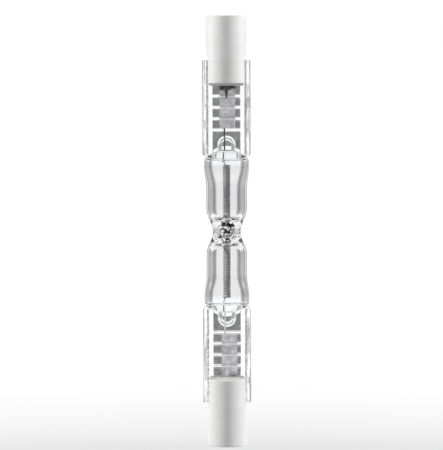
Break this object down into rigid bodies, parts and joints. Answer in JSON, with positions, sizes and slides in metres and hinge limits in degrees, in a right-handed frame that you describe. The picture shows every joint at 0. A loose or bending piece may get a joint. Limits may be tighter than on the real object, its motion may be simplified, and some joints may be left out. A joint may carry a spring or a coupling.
{
  "type": "linear halogen bulb",
  "caption": "Linear lamp: a waisted clear glass capsule round a coil filament, with flat ribbed press seals and slotted white ceramic caps that hold the end contacts.",
  "frame": {"origin": "centre of the lower cap's end face", "axes": "+Z along the lamp towards the upper cap, +X across the flat press seals, and the sealed exhaust tip points to -Y"},
  "size_m": [0.0088, 0.0082, 0.078],
  "materials": {
    "quartz": "clear and smooth, with a faintly frosted look in the pressed panels",
    "filament_wire": "dark grey drawn wire",
    "ceramic": "matt white",
    "contact_metal": "plain plated metal",
    "cement": "rough and matt",
    "lead_wire": "drawn wire",
    "foil": "satin foil"
  },
  "bodies": {
    "root": {"quartz_envelope": "quartz", "filament": "filament_wire", "upper_ceramic_cap": "ceramic", "lower_ceramic_cap": "ceramic", "upper_contact": "contact_metal", "lower_contact": "contact_metal", "upper_cement": "cement", "lower_cement": "cement", "upper_outer_lead": "lead_wire", "lower_outer_lead": "lead_wire", "upper_inner_lead": "lead_wire", "lower_inner_lead": "lead_wire", "upper_sealing_foil": "foil", "lower_sealing_foil": "foil"}
  },
  "joints": []
}
